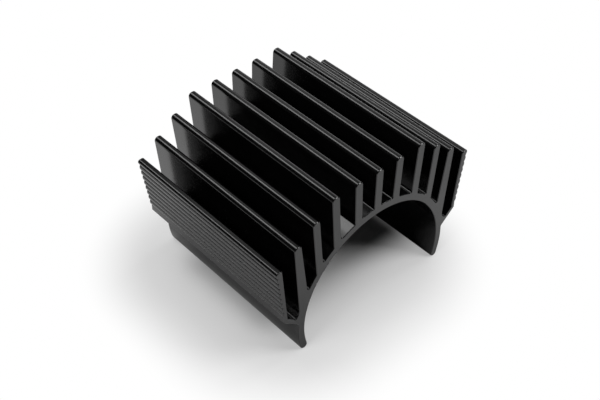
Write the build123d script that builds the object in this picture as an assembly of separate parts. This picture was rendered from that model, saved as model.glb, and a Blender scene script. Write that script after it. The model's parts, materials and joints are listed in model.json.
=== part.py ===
from build123d import *
from math import cos, hypot, radians, sin, sqrt, tan
import os

# A clip-on heat sink for a can motor: one length of extruded aluminium. A ring that wraps the
# motor past its widest point carries a fan of eleven fins. Sizes are in millimetres. The origin
# is on the motor's axis at mid-length, +X across the fins, +Y along the motor and +Z up.

# The extruded length, and the ring that springs over the motor's can.
sink_length = 40.0
bore_radius = 17.85
arch_wall = 1.65
leg_wall = 1.55
leg_wrap = 15.4           # degrees that each leg reaches below the motor's axis

# The upright fins in the middle, all to one height above the arch's crown. Each pair leaves the
# arch's surface at an angle from the crown and leans outwards from upright, both in degrees.
crown_height = 8.95
fin_width = 1.75
near_angle = 14.2
near_lean = 2.2
middle_angle = 30.7
middle_lean = 3.7

# The far pair leaves the arch in the same way, with its tips lower.
far_angle = 46.7
far_lean = 4.8
far_width = 1.65
far_drop = 2.95           # tip below the middle fins' tips

# The shoulder fins stand on the ring's sides, wide at the foot.
shoulder_inset = 1.75     # foot's centre inside the leg's outer face
shoulder_lean = 5.45
shoulder_foot_width = 2.55
shoulder_tip_width = 1.65
shoulder_drop = 6.1

# The outermost fins stand on webs that leave the legs below the shoulder fins.
web_height = 1.95         # where the web's lower face meets the leg, above the motor's axis
web_slope = 42.5          # degrees above level
web_thickness = 0.95
web_reach = 3.45          # from the leg to the outer fin's lower corner
gusset_reach = 0.75       # thickening of the ring where the web leaves it
gusset_height = 3.25      # top of that thickening above the web's lower face
side_drop = 9.25
side_outer_lean = 7.4
side_inner_lean = 5.0
side_tip_width = 1.48

# The ribs along the outer faces of the outermost fins.
rib_count = 8
rib_depth = 0.22
rib_start = 1.5           # from the lower corner to the first groove
bead_height = 1.4         # from the last groove to the fin's tip

# Rounded tips, corners and roots.
tip_round = 0.75
side_tip_round = 0.5
tip_round_share = 0.45    # of a tip's width, which no tip's round goes beyond
corner_round = 0.3
root_fillet = 0.35
gusset_fillet = 0.3
shoulder_fillet = 1.5     # between the gusset and the shoulder fin

touching = 0.001          # how near a corner lies to what it is on

arch_radius = bore_radius + arch_wall
leg_radius = bore_radius + leg_wall
top_height = arch_radius + crown_height
leg_x = sqrt(leg_radius**2 - web_height**2)
web_rise = tan(radians(web_slope))
web_lift = web_thickness / cos(radians(web_slope))
shoulder_foot = Vector(leg_radius - shoulder_inset, web_height + web_lift)


def corner_near(shape, point):
    """The vertex of a shape that lies nearest to a point."""
    return shape.vertices().sort_by_distance(point)[0]


def is_on_ring(vertex):
    """Whether a vertex lies on the outside of the ring."""
    radius = hypot(vertex.X, vertex.Y)
    return min(abs(radius - arch_radius), abs(radius - leg_radius)) < touching


def ring():
    """The wall round the motor: thicker from far fin to far fin, with half rounds at the feet."""
    legs_line = CenterArc((0, 0), bore_radius + leg_wall / 2, -leg_wrap, 180 + 2 * leg_wrap)
    arch_line = CenterArc((0, 0), bore_radius + arch_wall / 2, 90 - far_angle, 2 * far_angle)
    return SlotArc(legs_line, leg_wall) + trace(arch_line, arch_wall)


def blade(foot, lean, drop, foot_width, tip_width):
    """A fin's section from the centre of its foot, leaning outwards, with a rounded tip."""
    tip_height = top_height - drop
    tip_x = foot.X + (tip_height - foot.Y) * tan(radians(lean))
    outline = Polygon(
        (foot.X - foot_width / 2, foot.Y),
        (foot.X + foot_width / 2, foot.Y),
        (tip_x + tip_width / 2, tip_height),
        (tip_x - tip_width / 2, tip_height),
        align=None,
    )
    tip_corners = outline.vertices().sort_by(Axis.Y)[-2:]
    return fillet(tip_corners, min(tip_round, tip_round_share * tip_width))


def arch_fin(angle, lean, width, drop=0):
    """A fin that leaves the arch's surface at an angle from the crown."""
    surface = Vector(arch_radius * sin(radians(angle)), arch_radius * cos(radians(angle)))
    foot = surface - Vector(sin(radians(lean)), cos(radians(lean))) * arch_wall
    return blade(foot, lean, drop, width, width)


def shoulder_fin():
    """The wide-footed fin on the ring's side, just above the web."""
    return blade(
        shoulder_foot, shoulder_lean, shoulder_drop, shoulder_foot_width, shoulder_tip_width
    )


def gusset_corner():
    """Where the gusset runs into the shoulder fin's outer face."""
    climb = gusset_height - web_lift
    fin_height = top_height - shoulder_drop - shoulder_foot.Y
    taper = (shoulder_foot_width - shoulder_tip_width) / 2 / fin_height
    out = shoulder_foot_width / 2 + climb * (tan(radians(shoulder_lean)) - taper)
    return shoulder_foot + Vector(out, climb)


def flank():
    """The web with its gusset, and the outermost fin with the ribs on its outer face."""
    corner = Vector(leg_x + web_reach, web_height + web_reach * web_rise)
    along = Vector(sin(radians(side_outer_lean)), cos(radians(side_outer_lean)))
    inwards = Vector(-along.Y, along.X)
    face_length = (top_height - side_drop - corner.Y) / along.Y
    rib_pitch = (face_length - rib_start - bead_height) / rib_count

    def face(distance, depth=0):
        return corner + along * distance + inwards * depth

    tip_outer = face(face_length)
    tip_inner = tip_outer - Vector(side_tip_width, 0)
    inner_rise = tan(radians(90 - side_inner_lean))
    web_top = web_height + web_lift - leg_x * web_rise
    root_x = (tip_inner.Y - web_top - tip_inner.X * inner_rise) / (web_rise - inner_rise)
    root = Vector(root_x, web_top + root_x * web_rise)
    apex_x = leg_x + gusset_reach
    apex = Vector(apex_x, web_top + apex_x * web_rise)
    gusset = gusset_corner()
    inside = Vector(leg_x - leg_wall / 2, web_height - leg_wall / 2 * web_rise)

    grooves = [face(rib_start + k * rib_pitch, rib_depth) for k in range(rib_count + 1)]
    crests = [face(rib_start + (k + 0.5) * rib_pitch) for k in range(rib_count)]
    ribs = [ThreePointArc(grooves[k], crests[k], grooves[k + 1]) for k in range(rib_count)]
    bead = face(face_length - bead_height / 2)
    lower = Polyline(gusset, (inside.X, gusset.Y), inside, corner, grooves[0])
    upper = Polyline(grooves[-1], bead, tip_outer, tip_inner, root, apex, gusset)
    outline = make_face([lower, *ribs, upper])
    tip_corners = [corner_near(outline, tip_outer), corner_near(outline, tip_inner)]
    outline = fillet(tip_corners, min(side_tip_round, tip_round_share * side_tip_width))
    outline = fillet(corner_near(outline, corner), corner_round)
    outline = fillet(corner_near(outline, root), root_fillet)
    return fillet(corner_near(outline, apex), gusset_fillet)


def section():
    """The extrusion's section, in X and height."""
    side = (
        arch_fin(near_angle, near_lean, fin_width)
        + arch_fin(middle_angle, middle_lean, fin_width)
        + arch_fin(far_angle, far_lean, far_width, far_drop)
        + shoulder_fin()
        + flank()
    )
    whole = ring() + arch_fin(0, 0, fin_width) + side + mirror(side, about=Plane.YZ)
    whole -= Circle(bore_radius)
    notch = gusset_corner()
    notches = [corner_near(whole, notch), corner_near(whole, (-notch.X, notch.Y))]
    whole = fillet(notches, shoulder_fillet)
    roots = [v for v in whole.vertices() if v.Y > 0 and is_on_ring(v)]
    return fillet(roots, root_fillet)


os.makedirs("parts", exist_ok=True)
heat_sink = extrude(Plane.XZ * section(), amount=sink_length / 2, both=True)
heat_sink.label = "heat_sink"
export_step(heat_sink, "parts/heat_sink.step")
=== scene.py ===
import json
from math import cos, pi, radians, sin

import bpy
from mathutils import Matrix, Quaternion, Vector

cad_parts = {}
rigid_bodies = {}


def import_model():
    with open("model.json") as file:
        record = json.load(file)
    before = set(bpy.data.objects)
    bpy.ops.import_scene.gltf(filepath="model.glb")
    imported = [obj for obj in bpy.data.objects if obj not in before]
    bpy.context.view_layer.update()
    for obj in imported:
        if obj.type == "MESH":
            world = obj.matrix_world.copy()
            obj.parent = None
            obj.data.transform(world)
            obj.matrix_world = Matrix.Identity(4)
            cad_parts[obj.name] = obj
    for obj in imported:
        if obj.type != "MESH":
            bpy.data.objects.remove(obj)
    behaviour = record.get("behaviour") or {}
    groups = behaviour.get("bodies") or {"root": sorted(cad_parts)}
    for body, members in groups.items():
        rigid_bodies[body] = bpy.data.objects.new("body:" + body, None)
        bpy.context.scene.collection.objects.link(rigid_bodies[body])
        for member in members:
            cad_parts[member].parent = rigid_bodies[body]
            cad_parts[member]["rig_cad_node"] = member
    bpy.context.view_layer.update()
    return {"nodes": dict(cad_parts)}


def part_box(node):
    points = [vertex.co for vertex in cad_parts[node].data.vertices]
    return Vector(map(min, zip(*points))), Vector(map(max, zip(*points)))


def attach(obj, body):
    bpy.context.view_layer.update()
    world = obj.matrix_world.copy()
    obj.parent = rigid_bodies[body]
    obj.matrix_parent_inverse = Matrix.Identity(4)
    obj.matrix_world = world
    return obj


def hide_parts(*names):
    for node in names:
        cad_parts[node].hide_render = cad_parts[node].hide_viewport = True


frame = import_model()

# A clip-on motor heat sink: one black anodised extrusion, seen from above its left front corner
# on a white table. Everything is in metres, in the part's own frame: +X across the fins, +Y
# along the extrusion and +Z up.

MM = 0.001
HEAT_SINK = "heat_sink"

# The extrusion's mesh.
MERGE_DISTANCE = 0.001 * MM
END_FACING = 0.9                # how far along Y the normals of the cut ends' faces point
EDGE_BREAK = 0.12 * MM          # how far the edges round the cut ends are broken
SMOOTH_ANGLE = radians(30)      # sharper edges than this stay sharp

# The ribs on the outermost fins: the outer face's lower corner, its lean, and the grooves.
FACE_CORNER_X = 22.752 * MM
FACE_CORNER_Z = 5.111 * MM
FACE_LEAN = radians(7.4)
FACE_DEPTH = 0.5 * MM           # how deep the ribbed layer reaches
RIB_START = 1.5 * MM
RIB_PITCH = 1.4134 * MM
RIB_COUNT = 8
GROOVE_DEPTH = 0.028 * MM       # the grooves' sharp bottoms, below the ribs' modelled rounds

# The finishes: how black they are where the dye took most and least, and how they are marked.
ANODISED_IOR = 1.5
SKIN_BLACKS = ((0.0012, 0.0012, 0.0013, 1), (0.0032, 0.0031, 0.0032, 1))
END_BLACKS = ((0.006, 0.006, 0.0062, 1), (0.010, 0.010, 0.0103, 1))
DIE_LINE_STRETCH = (1, 0.008, 1)
DIE_LINE_DEPTH = 0.0002 * MM
SAW_MARK_STRETCH = (0.06, 1, 1)
SAW_MARK_SLANT = radians(12)
SAW_MARK_DEPTH = 0.01 * MM

# The camera, found from the photograph's perspective.
CAMERA_PLACE = Vector((-102.2, -111.3, 149.9)) * MM
CAMERA_AIM = Vector((0.48945, 0.53777, -0.68646))
CAMERA_ROLL = radians(0.13)
CAMERA_LENS = 62.64             # for the sensor's width
CAMERA_SENSOR = 36

# The white table. Beside the part it shows the lamps' own shadow, deepened and shaped by painted
# shade: its white glow is held back round patches set to the shadow's shape, and it fades to plain
# white further out.
# Each step of the fade starts round a patch, from its left side to its right and half its depth.
TABLE_SIZE = 0.22
TABLE_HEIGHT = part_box(HEAT_SINK)[0].z
TABLE_PAINT = (0.8, 0.8, 0.8, 1)
# Painted shadow: the glow is held back round these patches. The outer patch reaches further to the
# part's left, where the painted shadow is wider.
SHADOW_CORE_PATCH = (-15.5 * MM, 15.5 * MM, 8 * MM)
SHADOW_CORE_REACH = 9.5 * MM
SHADOW_CORE_GLOW = 0.36              # how far the first step goes towards white
SHADOW_HALO_PATCH = (-13.5 * MM, 4.8 * MM, 9 * MM)
SHADOW_HALO_START = 15 * MM
SHADOW_HALO_REACH = 30 * MM

# The studio: what the part sees of the room, what the camera sees, and the soft boxes, each with
# the direction in which it stands and its brightness.
ROOM = (0.02, 0.02, 0.02, 1)
WHITE = (1, 1, 1, 1)
SOFT_BOX_DISTANCE = 0.5
SOFT_BOX_SIZE = 0.2
SOFT_BOXES = (
    ("back_softbox", (-0.06, 0.54, 0.84), 4.5),
    ("back_top_softbox", (0.25, 0.54, 0.80), 0.35),
    ("back_right_softbox", (0.62, 0.54, 0.57), 0.55),
    ("overhead_softbox", (0, 0, 1), 2.5),
    ("left_softbox", (-0.7, 0, 0.7), 6.0),
    ("right_softbox", (0.7, 0, 0.7), 4.0),
    ("front_softbox", (0.55, -0.55, 0.63), 9.0),
    ("right_low_softbox", (0.84, 0.50, 0.20), 1.2),
)


class Value:
    """A shader socket that takes part in Python expressions."""

    def __init__(self, shader, socket):
        self.shader = shader
        self.socket = socket

    def math(self, operation, other=None, swapped=False):
        """One Math node, on this value alone or with another, which comes first if swapped."""
        inputs = [self] if other is None else [self, other]
        if swapped:
            inputs.reverse()
        return self.shader.node("ShaderNodeMath", {"operation": operation}, inputs)

    def __add__(self, other):
        return self.math("ADD", other)

    def __radd__(self, other):
        return self.math("ADD", other, swapped=True)

    def __sub__(self, other):
        return self.math("SUBTRACT", other)

    def __rsub__(self, other):
        return self.math("SUBTRACT", other, swapped=True)

    def __mul__(self, other):
        return self.math("MULTIPLY", other)

    def __rmul__(self, other):
        return self.math("MULTIPLY", other, swapped=True)

    def __lt__(self, other):
        return self.math("LESS_THAN", other)

    def __gt__(self, other):
        return self.math("GREATER_THAN", other)

    def fraction(self):
        return self.math("FRACT")

    def absolute(self):
        return self.math("ABSOLUTE")

    def at_least(self, least):
        return self.math("MAXIMUM", least)

    def root(self):
        return self.math("SQRT")


class Shader:
    """A material's or a world's node tree, built by short calls."""

    def __init__(self, owner):
        owner.use_nodes = True
        self.tree = owner.node_tree
        self.tree.nodes.clear()

    def node(self, kind, settings=None, sockets=(), output=0):
        """Adds a node, sets it, fills its sockets by place or name, and gives one output."""
        node = self.tree.nodes.new(kind)
        for name, value in (settings or {}).items():
            setattr(node, name, value)
        filled = sockets.items() if isinstance(sockets, dict) else enumerate(sockets)
        for key, value in filled:
            if isinstance(value, Value):
                self.tree.links.new(value.socket, node.inputs[key])
            else:
                node.inputs[key].default_value = value
        return Value(self, node.outputs[output]) if node.outputs else None

    def axis(self, vector, number):
        """One number of a vector: 0, 1 or 2 for X, Y or Z."""
        return self.node("ShaderNodeSeparateXYZ", {}, [vector], number)

    def between(self, share, colours):
        """A colour between two. A Mix node's colours are its sockets 6 and 7, and its output 2."""
        first, second = colours
        sockets = {0: share, 6: first, 7: second}
        return self.node("ShaderNodeMix", {"data_type": "RGBA"}, sockets, 2)


def material(name):
    """A new material with an empty node tree."""
    made = bpy.data.materials.new(name)
    return made, Shader(made)


def principled(shader, sockets):
    """Ends a material in one Principled shader."""
    surface = shader.node("ShaderNodeBsdfPrincipled", {}, sockets)
    shader.node("ShaderNodeOutputMaterial", {}, {"Surface": surface})


def groove_relief(shader, place):
    """How far the outermost fins' outer faces drop towards the grooves between their ribs."""
    out = shader.axis(place, 0).absolute() - FACE_CORNER_X
    up = shader.axis(place, 2) - FACE_CORNER_Z
    along = up * cos(FACE_LEAN) + out * sin(FACE_LEAN)
    inward = up * sin(FACE_LEAN) - out * cos(FACE_LEAN)
    ribs = (along - RIB_START) * (1 / RIB_PITCH)
    ribbed = (inward < FACE_DEPTH) * (ribs > 0) * (ribs < RIB_COUNT)
    from_crest = ribs.fraction() * 2 - 1
    return from_crest * from_crest * ribbed * -GROOVE_DEPTH


def anodised_skin():
    """The extruded faces: satin black, with the die's faint lines along the length."""
    skin, shader = material("black_anodised_skin")
    place = shader.node("ShaderNodeTexCoord", output="Object")
    drawn = shader.node("ShaderNodeMapping", {}, {"Vector": place, "Scale": DIE_LINE_STRETCH})
    die_lines = shader.node("ShaderNodeTexNoise", {}, {
        "Vector": drawn, "Scale": 3600, "Detail": 3, "Roughness": 0.6,
    })
    dye = shader.node("ShaderNodeTexNoise", {}, {"Vector": place, "Scale": 160, "Detail": 4})
    relief = shader.node("ShaderNodeBump", {}, {
        "Strength": 1.0, "Distance": 1.0,
        "Height": groove_relief(shader, place) + die_lines * DIE_LINE_DEPTH,
    })
    principled(shader, {
        "Base Color": shader.between(dye, SKIN_BLACKS),
        "Roughness": 0.15 + die_lines * 0.04 + dye * 0.03,
        "IOR": ANODISED_IOR,
        "Normal": relief,
    })
    return skin


def sawn_end():
    """The cut ends: the same black, duller, with the saw's faint marks across."""
    end, shader = material("black_anodised_cut_end")
    place = shader.node("ShaderNodeTexCoord", output="Object")
    swept = shader.node("ShaderNodeMapping", {}, {
        "Vector": place, "Rotation": (0, SAW_MARK_SLANT, 0), "Scale": SAW_MARK_STRETCH,
    })
    saw_marks = shader.node("ShaderNodeTexNoise", {}, {
        "Vector": swept, "Scale": 4200, "Detail": 3, "Roughness": 0.6,
    })
    grain = shader.node("ShaderNodeTexNoise", {}, {"Vector": place, "Scale": 900, "Detail": 3})
    relief = shader.node("ShaderNodeBump", {}, {
        "Strength": 0.15, "Distance": SAW_MARK_DEPTH, "Height": saw_marks,
    })
    principled(shader, {
        "Base Color": shader.between(grain, END_BLACKS),
        "Roughness": 0.34 + saw_marks * 0.08 + grain * 0.05,
        "IOR": ANODISED_IOR,
        "Normal": relief,
    })
    return end


def select_faces(piece, chosen):
    """Selects a mesh's faces by a test, in object mode, and goes back to edit mode."""
    bpy.ops.object.mode_set(mode="EDIT")
    bpy.ops.mesh.select_mode(type="FACE")
    bpy.ops.mesh.select_all(action="DESELECT")
    bpy.ops.object.mode_set(mode="OBJECT")
    for face in piece.data.polygons:
        face.select = chosen(face)
    bpy.ops.object.mode_set(mode="EDIT")


def break_end_edges(piece):
    """Takes the sharpness off the edges round both cut ends."""
    for side in (-1, 1):
        select_faces(piece, lambda face: face.normal.y * side > END_FACING)
        bpy.ops.mesh.dissolve_faces()
        bpy.ops.mesh.region_to_loop()
        bpy.ops.mesh.bevel(offset=EDGE_BREAK, segments=1, affect="EDGES", material=0)
    bpy.ops.object.mode_set(mode="OBJECT")


def copy_of(node):
    """A free copy of a CAD node, with its loose triangles merged."""
    bpy.ops.object.select_all(action="DESELECT")
    node.select_set(True)
    bpy.context.view_layer.objects.active = node
    bpy.ops.object.duplicate()
    piece = bpy.context.view_layer.objects.active
    del piece["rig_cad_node"]
    piece.parent = None
    bpy.ops.object.mode_set(mode="EDIT")
    bpy.ops.mesh.select_all(action="SELECT")
    bpy.ops.mesh.remove_doubles(threshold=MERGE_DISTANCE)
    bpy.ops.mesh.customdata_custom_splitnormals_clear()
    bpy.ops.object.mode_set(mode="OBJECT")
    return piece


def dressed_heat_sink():
    """The extrusion with broken edges and two finishes, which stands for the CAD's."""
    piece = copy_of(frame["nodes"][HEAT_SINK])
    piece.name = "finned_extrusion"
    piece.data.name = "finned_extrusion"
    piece.data.materials.clear()
    piece.data.materials.append(anodised_skin())
    piece.data.materials.append(sawn_end())
    for face in piece.data.polygons:
        face.material_index = int(abs(face.normal.y) > END_FACING)
    break_end_edges(piece)
    bpy.ops.object.shade_smooth_by_angle(angle=SMOOTH_ANGLE)
    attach(piece, "root")
    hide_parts(HEAT_SINK)


def distance_from(shader, place, patch):
    """How far a place on the table lies from a patch under the part."""
    left, right, depth = patch
    beside = (shader.axis(place, 0) - (left + right) / 2).absolute() - (right - left) / 2
    beyond = shader.axis(place, 1).absolute() - depth
    beside, beyond = beside.at_least(0), beyond.at_least(0)
    return (beside * beside + beyond * beyond).root()


def table():
    """The white table, which shows the lamps' shadow deepened by painted shade near the part, and
    fades to white further out.
    """
    bpy.ops.mesh.primitive_plane_add(size=TABLE_SIZE, location=(0, 0, TABLE_HEIGHT))
    top = bpy.context.view_layer.objects.active
    top.name = "white_table"
    surface, shader = material("white_table")
    place = shader.node("ShaderNodeTexCoord", output="Object")
    smooth = {"interpolation_type": "SMOOTHSTEP"}
    under = shader.node("ShaderNodeMapRange", smooth, {
        "Value": distance_from(shader, place, SHADOW_CORE_PATCH),
        "From Max": SHADOW_CORE_REACH, "To Max": SHADOW_CORE_GLOW,
    })
    halo_glow = shader.node("ShaderNodeMapRange", smooth, {
        "Value": distance_from(shader, place, SHADOW_HALO_PATCH),
        "From Min": SHADOW_HALO_START, "From Max": SHADOW_HALO_REACH,
    })
    is_camera = shader.node("ShaderNodeLightPath", output="Is Camera Ray")
    is_glossy = shader.node("ShaderNodeLightPath", output="Is Glossy Ray")
    lit = shader.node("ShaderNodeBsdfDiffuse", {}, {"Color": TABLE_PAINT})
    white = shader.node("ShaderNodeEmission", {}, {"Strength": 1.0})
    # Painted shade: near the part the white glow is held back, both for the camera and in the
    # part's reflections of the table.
    glow_outside_shadow = is_camera * (under + halo_glow * (1 - SHADOW_CORE_GLOW)) + is_glossy * halo_glow
    mixed = shader.node("ShaderNodeMixShader", {}, [glow_outside_shadow, lit, white])
    shader.node("ShaderNodeOutputMaterial", {}, {"Surface": mixed})
    top.data.materials.append(surface)


def studio():
    """A dark room that shows white to the camera."""
    world = bpy.data.worlds.new("studio")
    bpy.context.scene.world = world
    shader = Shader(world)
    is_camera = shader.node("ShaderNodeLightPath", output="Is Camera Ray")
    room = shader.node("ShaderNodeBackground", {}, {"Color": ROOM})
    white = shader.node("ShaderNodeBackground", {}, {"Color": WHITE})
    mixed = shader.node("ShaderNodeMixShader", {}, [is_camera, room, white])
    shader.node("ShaderNodeOutputWorld", {}, {"Surface": mixed})


def soft_box(name, towards, brightness):
    """A square soft light that faces the part from a direction."""
    place = Vector(towards).normalized() * SOFT_BOX_DISTANCE
    bpy.ops.object.light_add(type="AREA", location=place)
    lamp = bpy.context.view_layer.objects.active
    lamp.name = name
    lamp.data.shape = "SQUARE"
    lamp.data.size = SOFT_BOX_SIZE
    lamp.data.energy = brightness * pi * SOFT_BOX_SIZE**2
    lamp.rotation_euler = (-place).to_track_quat("-Z", "Y").to_euler()


def camera():
    """The photograph's viewpoint."""
    bpy.ops.object.camera_add(location=CAMERA_PLACE)
    seen_from = bpy.context.view_layer.objects.active
    seen_from.name = "camera"
    roll = Quaternion((0, 0, 1), CAMERA_ROLL)
    seen_from.rotation_euler = (CAMERA_AIM.to_track_quat("-Z", "Y") @ roll).to_euler()
    seen_from.data.lens = CAMERA_LENS
    seen_from.data.sensor_width = CAMERA_SENSOR
    bpy.context.scene.camera = seen_from


dressed_heat_sink()
table()
studio()
for name, towards, brightness in SOFT_BOXES:
    soft_box(name, towards, brightness)
camera()
bpy.context.scene.view_settings.view_transform = "Standard"
